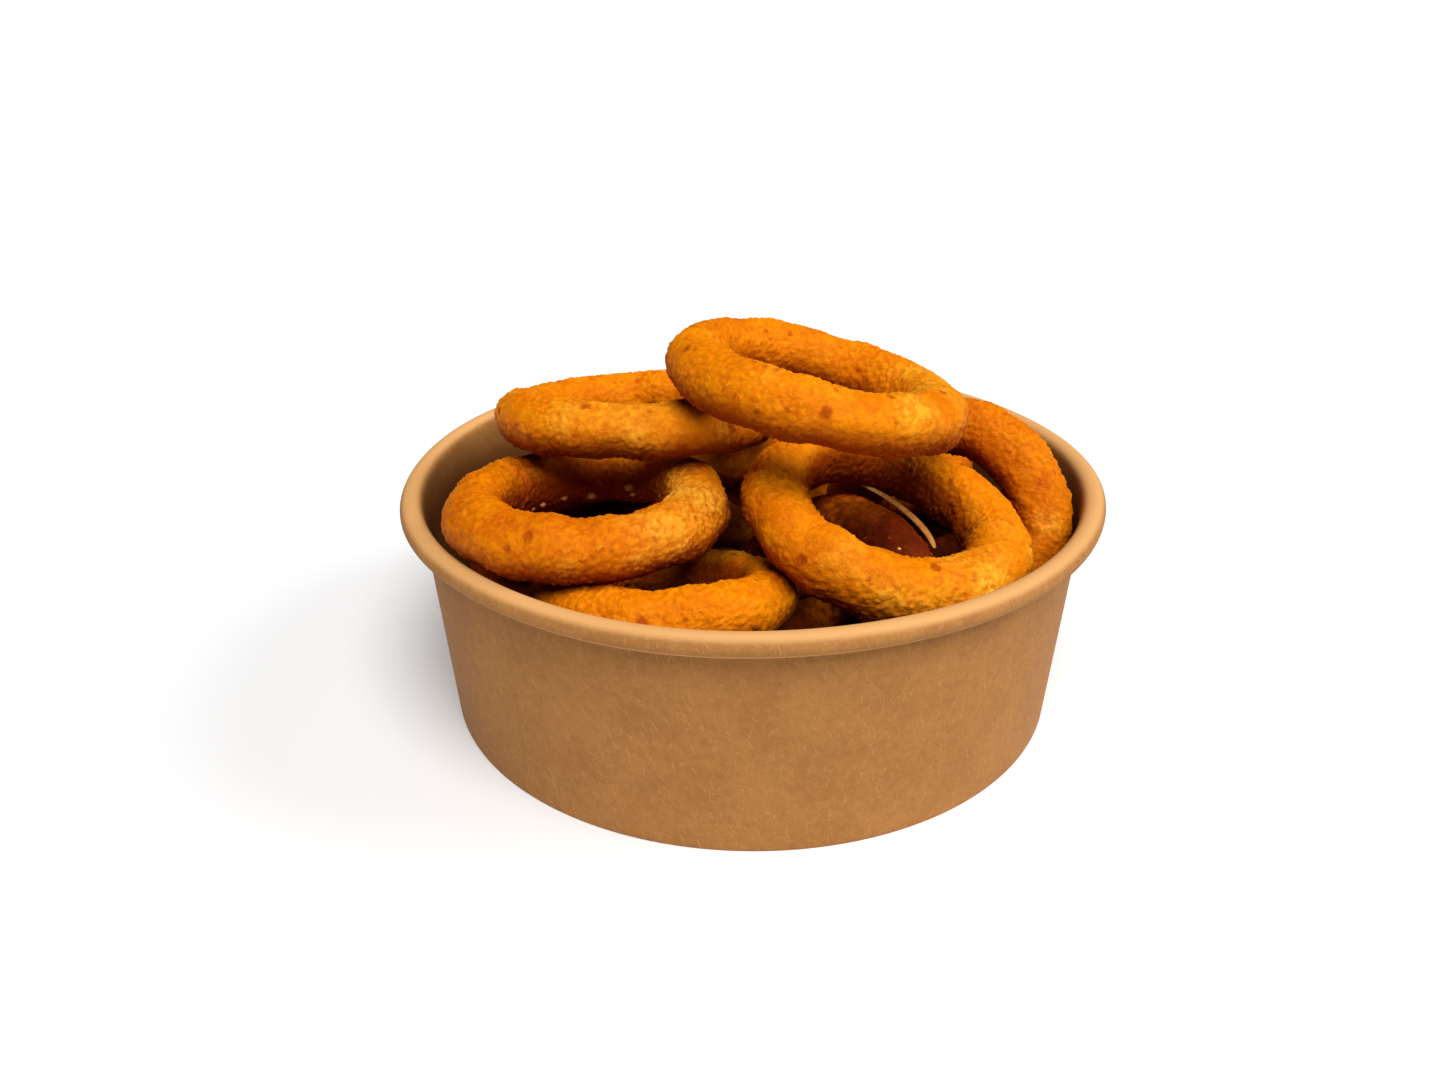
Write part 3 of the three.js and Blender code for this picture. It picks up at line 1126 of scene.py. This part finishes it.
@dataclass(frozen=True)
class Heap:
    """All the rings, each given painted shade where the others lie close over it."""

    rings: tuple[OnionRing, ...] = RINGS

    def build(self, batters: dict[Browning, bpy.types.Material]) -> list[bpy.types.Object]:
        """Makes every ring in the table's order.

        Args:
            batters: the batter's material for each browning.

        Returns:
            The rings.
        """
        lines = {ring.node: ring.tube_line() for ring in self.rings}
        return [
            ring.build(
                batters[ring.frying.browning], [line for node, line in lines.items() if node != ring.node]
            )
            for ring in self.rings
        ]


# Loose bits


@dataclass(frozen=True)
class CrumbFall:
    """A handful of crumbs let fall inside a circle, and how high they start, in millimetres."""

    centre: tuple[float, float]
    spread: float
    start: float
    count: int


@dataclass(frozen=True)
class LooseCrumbs:
    """Small bits that broke off: some lie where they fell, others cling at given places."""

    name: str = "loose_crumbs"
    falls: tuple[CrumbFall, ...] = (
        CrumbFall((-32.0, -28.0), 12.0, 49.0, 16),
        CrumbFall((27.0, -26.0), 10.0, 47.0, 8),
        CrumbFall((2.0, 6.0), 26.0, 58.0, 22),
        CrumbFall((0.0, -52.0), 14.0, 30.0, 10),
    )
    clinging: tuple[Place, ...] = ()
    smallest: float = 0.35
    largest: float = 0.75
    least_level: float = 0.25
    lump: float = 0.28
    lump_cell: float = 0.9
    lump_seed: int = 15
    least_breadth: float = 0.75
    breadth_range: float = 0.4
    flatness: float = 0.7
    sunk_height: float = 0.35
    seed: int = 77

    def places(self, pieces: list[bpy.types.Object]) -> Array:
        """Where the crumbs end: the highest surface under each start, if it is level enough.

        A start is a random place in its fall's circle, even over the circle's area. The clinging
        places come first.

        Args:
            pieces: the pieces that crumbs can land on.

        Returns:
            Places in millimetres, shape (count, 3).
        """
        graph = bpy.context.evaluated_depsgraph_get()
        trees = [BVHTree.FromObject(piece, graph) for piece in pieces]
        numbers = SeededNumbers(self.seed)
        found = [np.array(place) for place in self.clinging]
        for fall in self.falls:
            for _ in range(fall.count):
                away, heading = fall.spread * math.sqrt(numbers.draw()), numbers.turn()
                x = fall.centre[0] + away * math.cos(heading)
                y = fall.centre[1] + away * math.sin(heading)
                start = Vector((x, y, fall.start)) * MM
                hits = [tree.ray_cast(start, Vector((0.0, 0.0, -1.0))) for tree in trees]
                hits = [hit for hit in hits if hit[0] is not None]
                if not hits:
                    continue
                place, normal, *_ = max(hits, key=lambda hit: hit[0].z)
                if normal.z > self.least_level:
                    found.append(np.array(place) / MM)
        return np.array(found)

    def ball(self) -> tuple[Array, Array]:
        """A round ball of 80 faces, one millimetre in radius.

        Returns:
            Its places, and the numbers of each face's corners.
        """
        form = bmesh.new()
        bmesh.ops.create_icosphere(form, subdivisions=2, radius=1.0)
        places = np.array([corner.co for corner in form.verts])
        facets = np.array([[corner.index for corner in face.verts] for face in form.faces])
        form.free()
        return places, facets

    def build(self, pieces: list[bpy.types.Object], finish: bpy.types.Material) -> bpy.types.Object:
        """Makes all bits as one piece of lumpy balls.

        Each ball is pushed in and out by a noise, narrowed and flattened, turned about the
        upright, and sunk a little into what it lies on.

        Args:
            pieces: the pieces that crumbs can land on.
            finish: the bits' material.

        Returns:
            The bits.
        """
        ball, facets = self.ball()
        numbers = SeededNumbers(self.seed + 1)
        points, faces = [], []
        for number, place in enumerate(self.places(pieces)):
            size = self.smallest + (self.largest - self.smallest) * numbers.draw() ** 2
            lumps = 1.0 + self.lump * smooth_noise(ball + 5.0 * number, self.lump_cell, self.lump_seed)
            breadth = self.least_breadth + self.breadth_range * numbers.draw()
            turn = np.array(Matrix.Rotation(numbers.turn(), 3, "Z"))
            shape = (ball * lumps[:, None] * np.array([1.0, breadth, self.flatness]) * size) @ turn.T
            points.append(shape + place + np.array([0.0, 0.0, self.sunk_height * size]))
            faces.append(facets + number * len(ball))
        cloud = np.concatenate(points)
        ones = np.ones(len(cloud))
        # Loose bits take full paleness and the crumb peaks' full painted highlight, and no painted shade.
        values = {"crumb": ones, "patch": ones, "under": 0.0 * ones}
        piece = mesh_object(self.name, cloud * MM, [np.concatenate(faces)], values)
        piece.data.materials.append(finish)
        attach(piece, "root")
        return piece


ONION_BITS = LooseCrumbs(
    name="onion_bits",
    falls=(),
    clinging=(
        (-45.2, -18.6, 48.0),
        (-43.4, -17.2, 48.3),
        (-39.1, -14.9, 48.8),
        (-33.6, -13.2, 48.3),
        (-25.4, -16.2, 51.3),
        (-24.8, -16.6, 50.2),
    ),
    smallest=0.7,
    largest=1.15,
    seed=91,
)


@dataclass(frozen=True)
class OnionSliver:
    """A bare strip of onion from the right ring's inner wall down to the ring under it."""

    line: tuple[Place, ...] = (
        (22.0, -12.2, 50.6),
        (24.9, -13.6, 49.9),
        (28.2, -15.6, 48.8),
        (31.0, -18.9, 47.5),
        (33.4, -22.2, 46.2),
        (35.2, -25.6, 45.0),
        (36.0, -29.0, 43.6),
    )
    width: float = 1.7
    thickness: float = 0.7
    blunt_end: float = 0.02
    bluntness: float = 0.3
    bends: int = 4
    rows: int = 44
    columns: int = 14

    def build(self, finish: bpy.types.Material) -> bpy.types.Object:
        """Makes the strip: an oval section carried along the line, narrowing at both ends.

        The line is a smooth curve of a few bends fitted to the given places. With t the share of
        the way along, the section's size is 4t(1 - t), held above the blunt end's, to the power
        of the bluntness. Its breadth lies level and its thickness upright.

        Args:
            finish: the onion's material.

        Returns:
            The strip.
        """
        knots = np.array(self.line)
        share = np.linspace(0.0, 1.0, self.rows)
        knot_share = np.linspace(0.0, 1.0, len(knots))
        curve = [np.polynomial.Polynomial.fit(knot_share, values, self.bends) for values in knots.T]
        centre = np.stack([part(share) for part in curve], axis=-1)
        along = np.gradient(centre, axis=0)
        along /= np.linalg.norm(along, axis=1, keepdims=True)
        up = np.array([0.0, 0.0, 1.0]) - along[:, 2:3] * along
        up /= np.linalg.norm(up, axis=1, keepdims=True)
        side = np.cross(up, along)
        turn = np.linspace(0.0, FULL_TURN, self.columns, endpoint=False)
        taper = np.clip(4.0 * share * (1.0 - share), self.blunt_end, 1.0) ** self.bluntness
        wide = 0.5 * self.width * np.outer(taper, np.cos(turn))[..., None] * side[:, None, :]
        thick = 0.5 * self.thickness * np.outer(taper, np.sin(turn))[..., None] * up[:, None, :]
        points = centre[:, None, :] + wide + thick
        piece = GridMesh("onion_sliver", points, False).build()
        piece.data.materials.append(finish)
        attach(piece, "root")
        return piece


# Paper bowl


@dataclass(frozen=True)
class PaperBowl:
    """Kraft paper takeaway bowl: skirt, flaring wall, rolled rim, lapped seam, set-in base."""

    node: str = "paper_bowl"
    height: float = 50.0
    rim_radius: float = 75.0
    foot_radius: float = 67.5
    wall_flare: float = 3.5
    paper: float = 0.7
    skirt: float = 1.6
    recess: float = 3.4
    base_thickness: float = 0.6
    bead_half_width: float = 2.4
    bead_half_height: float = 2.2
    seam_heading: float = 118.0
    seam_lap: float = 8.0
    seam_step: float = 0.30
    wave: float = 0.16
    ripple: float = 0.10
    rise: float = 0.10
    columns: int = 220

    @property
    def bead_height(self) -> float:
        """Height of the rolled rim's middle."""
        return self.height - self.bead_half_height

    def wall(self, height: Array) -> Array:
        """Outer radius of the wall: the foot's plus the flare's share of the height."""
        return self.foot_radius + self.wall_flare * height / self.height

    def section(self) -> Array:
        """The bowl's section, as radius and height, from the underside's axis to the floor's.

        It runs out under the base disc, down the skirt, up the wall, round the rolled rim and
        down inside to the floor. Short runs of points keep the folds crisp yet rounded.

        Returns:
            Points of shape (count, 2).
        """
        bead_centre = self.rim_radius - self.bead_half_width
        runs: list[Array] = []
        under = np.linspace(2.0, self.wall(self.recess) - self.skirt, 14)
        runs.append(np.stack([under, np.full_like(under, self.recess)], axis=-1))
        down = np.array([self.recess - 0.35, self.recess * 0.5, 0.35, 0.08, 0.0])
        inset = np.array([0.0, 0.0, 0.0, 0.12, 0.35])
        runs.append(np.stack([self.wall(down) - self.skirt + inset, down], axis=-1))
        fold = np.array([[-0.35, 0.0], [-0.08, 0.08], [0.0, 0.35]])
        runs.append(np.stack([self.wall(fold[:, 1]) + fold[:, 0], fold[:, 1]], axis=-1))
        up = np.linspace(1.4, self.bead_height - self.bead_half_height - 0.1, 26)
        runs.append(np.stack([self.wall(up), up], axis=-1))
        turn = np.radians(np.linspace(-122.0, 172.0, 40))
        rolled = np.stack(
            [
                bead_centre + self.bead_half_width * np.cos(turn),
                self.bead_height + self.bead_half_height * np.sin(turn),
            ],
            axis=-1,
        )
        runs.append(rolled)
        floor = self.recess + self.base_thickness
        inner = np.linspace(self.bead_height - 0.4, floor + 1.2, 22)
        runs.append(np.stack([self.wall(inner) - self.paper, inner], axis=-1))
        inset, rise = np.array([[0.12, 0.55], [0.45, 0.14], [1.1, 0.0]]).T
        runs.append(np.stack([self.wall(floor + rise) - self.paper - inset, floor + rise], axis=-1))
        across = np.linspace(self.wall(floor) - self.paper - 3.0, 2.0, 14)
        runs.append(np.stack([across, np.full_like(across, floor)], axis=-1))
        return np.concatenate(runs)

    def headings(self) -> Array:
        """Angles round the bowl, even, with close pairs where the lapped seam steps up.

        Returns:
            The angles in order, in radians.
        """
        even = np.linspace(0.0, FULL_TURN, self.columns, endpoint=False)
        start = math.radians(self.seam_heading)
        lap = self.seam_lap / self.foot_radius
        steps = np.array([-0.004, -0.001, 0.001, 0.004])
        extra = np.concatenate([start + steps, start + lap + steps])
        return np.sort(np.concatenate([even, extra % FULL_TURN]))

    def lap(self, heading: Array) -> Array:
        """How far the seam's upper layer stands proud: 1 over the lap, 0 outside it.

        Args:
            heading: angles round the bowl.

        Returns:
            The share of the seam's step, from 0 to 1.
        """
        away = (heading - math.radians(self.seam_heading)) % FULL_TURN
        lap = self.seam_lap / self.foot_radius
        rising = smoothstep(-0.001, 0.001, np.where(away > math.pi, away - FULL_TURN, away))
        falling = smoothstep(lap - 0.004, lap + 0.001, away)
        return np.where(away > math.pi, 0.0, rising * (1.0 - falling))

    def build(self, finish: bpy.types.Material) -> bpy.types.Object:
        """Makes the bowl, and lets it stand for its solid.

        The section is turned round the axis. Paper isn't true: the wall waves by a few tenths
        of a millimetre, least at the foot, in sines of three, five and seven turns, and the seam
        adds its step outside. The attribute "crown" marks the top of the rim for a painted
        highlight, and the lip under it for its pale cut edge with painted light from below;
        "oiled" marks the inside for painted shade, from just under the rim down.

        Args:
            finish: the board's material.

        Returns:
            The bowl.
        """
        section = self.section()
        heading = self.headings()
        radius = section[:, 0][:, None] + np.zeros_like(heading)
        level = section[:, 1][:, None] + np.zeros_like(heading)
        outer = (radius > self.wall(level) - 0.05) & (level < self.height - 2.0 * self.bead_half_height)
        radius += self.seam_step * self.lap(heading) * outer
        share = (radius / self.rim_radius) ** 4 * level / self.height
        radius += self.wave * share * np.sin(3.0 * heading + 0.8)
        radius += self.ripple * share * np.sin(7.0 * heading + 2.0)
        level += self.rise * share * np.sin(5.0 * heading + 1.1)
        points = np.stack([radius * np.cos(heading), radius * np.sin(heading), level], axis=-1)
        above = level - self.bead_height
        # Painted highlight along the top of the rim; the lip's pale cut edge is partly painted light from
        # below.
        rim_highlight = smoothstep(0.9, 2.0, above)
        lip = smoothstep(-1.1, -1.6, above) * (radius > self.wall(level) + 0.5)
        inside = (radius < self.wall(level) - 0.3) & (level > self.recess + 0.3)
        # Painted shade inside the bowl, deepening from just under the rim down.
        inside_shade = smoothstep(1.6, -9.0, above) * inside
        values = {"rim_highlight": np.maximum(rim_highlight, 0.7 * lip), "inside_shade": inside_shade}
        piece = GridMesh("kraft_bowl", points, False, values).build()
        piece.data.materials.append(finish)
        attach(piece, "root")
        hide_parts(self.node)
        return piece


# Studio


@dataclass(frozen=True)
class SoftLamp:
    """A large soft lamp far away: the way towards it, its spread in degrees, its strength."""

    name: str
    towards: tuple[float, float, float]
    spread: float
    strength: float

    def hang(self) -> None:
        """Adds the lamp to the scene, turned so that its light comes from `towards`."""
        data = bpy.data.lights.new(self.name, "SUN")
        data.angle = math.radians(self.spread)
        data.energy = self.strength
        data.color = (1.0, 1.0, 1.0)
        lamp = bpy.data.objects.new(self.name, data)
        lamp.matrix_world = Vector(self.towards).to_track_quat("Z", "Y").to_matrix().to_4x4()
        bpy.context.scene.collection.objects.link(lamp)


@dataclass(frozen=True)
class Studio:
    """White floor, soft light from the upper front with a little from the right, and the camera.

    The camera's place is in millimetres, its look and roll in degrees, its lens and sensor in
    millimetres of film. The floor's side is in metres.
    """

    camera_place: tuple[float, float, float] = (-6.75, -239.5, 147.6)
    look_down: float = 25.8
    roll: float = -0.5
    lens: float = 29.46
    sensor: float = 36.0
    nearest: float = 10.0
    floor_side: float = 12.0
    floor_grey: float = 0.8
    floor_glow: float = 0.06
    lamps: tuple[SoftLamp, ...] = (
        SoftLamp("key", (0.12, -0.50, 0.86), spread=40.0, strength=3.6),
        SoftLamp("side", (0.80, -0.05, 0.60), spread=26.0, strength=1.2),
        SoftLamp("overhead", (0.0, 0.0, 1.0), spread=60.0, strength=0.2),
    )
    sky: float = 0.02

    def camera(self) -> None:
        """Sets the camera: it looks along +Y and down, and rolls about its own axis."""
        data = bpy.data.cameras.new("camera")
        data.lens = self.lens
        data.sensor_width = self.sensor
        data.clip_start = self.nearest * MM
        camera = bpy.data.objects.new("camera", data)
        down, roll = math.radians(self.look_down), math.radians(self.roll)
        along = Vector((0.0, math.cos(down), -math.sin(down)))
        up = Vector((0.0, math.sin(down), math.cos(down)))
        right = Vector((1.0, 0.0, 0.0))
        turned_right = right * math.cos(roll) + up * math.sin(roll)
        turned_up = up * math.cos(roll) - right * math.sin(roll)
        axes = Matrix((turned_right, turned_up, -along)).transposed()
        camera.matrix_world = Matrix.Translation(Vector(self.camera_place) * MM) @ axes.to_4x4()
        bpy.context.scene.collection.objects.link(camera)
        bpy.context.scene.camera = camera

    def floor(self) -> None:
        """Lays the plain pale floor."""
        half = self.floor_side / 2.0
        corners = np.array([[-half, -half, 0.0], [half, -half, 0.0], [half, half, 0.0], [-half, half, 0.0]])
        floor = mesh_object("studio_floor", corners, [np.array([[0, 1, 2, 3]])], {})
        material, desk = new_material("studio_white")
        grey, glow = (self.floor_grey,) * 3, (1.0, 1.0, 1.0)
        shader = desk.add(
            "ShaderNodeBsdfPrincipled",
            {
                "Base Color": (*grey, 1.0),
                "Roughness": 0.9,
                "Emission Color": (*glow, 1.0),
                "Emission Strength": self.floor_glow,
            },
        )
        desk.add("ShaderNodeOutputMaterial", {"Surface": shader.outputs[0]})
        floor.data.materials.append(material)

    def lights(self) -> None:
        """Hangs the lamps, and sets a surround that looks white and lights weakly."""
        for lamp in self.lamps:
            lamp.hang()
        world = bpy.data.worlds.new("surround")
        world.use_nodes = True
        world.node_tree.nodes.clear()
        desk = NodeDesk(world.node_tree)
        seen = desk.add("ShaderNodeLightPath").outputs["Is Camera Ray"]
        strength = desk.math("MAXIMUM", seen, self.sky)
        shade = desk.add("ShaderNodeBackground", {"Color": (1.0, 1.0, 1.0, 1.0), "Strength": strength})
        desk.add("ShaderNodeOutputWorld", {"Surface": shade.outputs[0]})
        bpy.context.scene.world = world

    def build(self) -> None:
        """Sets up the whole studio."""
        bpy.context.scene.view_settings.view_transform = "Standard"
        self.camera()
        self.floor()
        self.lights()


def main() -> None:
    """Builds the studio and every piece, in order."""
    logging.basicConfig(level=logging.INFO, format="%(name)s: %(message)s")
    Studio().build()
    groups = SharedGroups(mottle=MottleGroup(), fleck=FleckGroup())
    batters = {browning: finish.build(groups) for browning, finish in BATTERS.items()}
    bowl = PaperBowl().build(KraftBoard(name="kraft_board").build(groups))
    LOG.info("%s: %d faces", bowl.name, len(bowl.data.polygons))
    rings = Heap().build(batters)
    onion = CookedOnion(name="cooked_onion").build(groups)
    sliver = OnionSliver().build(onion)
    bpy.context.view_layer.update()
    crumbs = LooseCrumbs().build([bowl, *rings], batters[Browning.GOLDEN])
    bits = ONION_BITS.build([bowl, *rings], onion)
    for piece in (*rings, sliver, crumbs, bits):
        LOG.info("%s: %d faces", piece.name, len(piece.data.polygons))


if __name__ == "__main__":
    main()
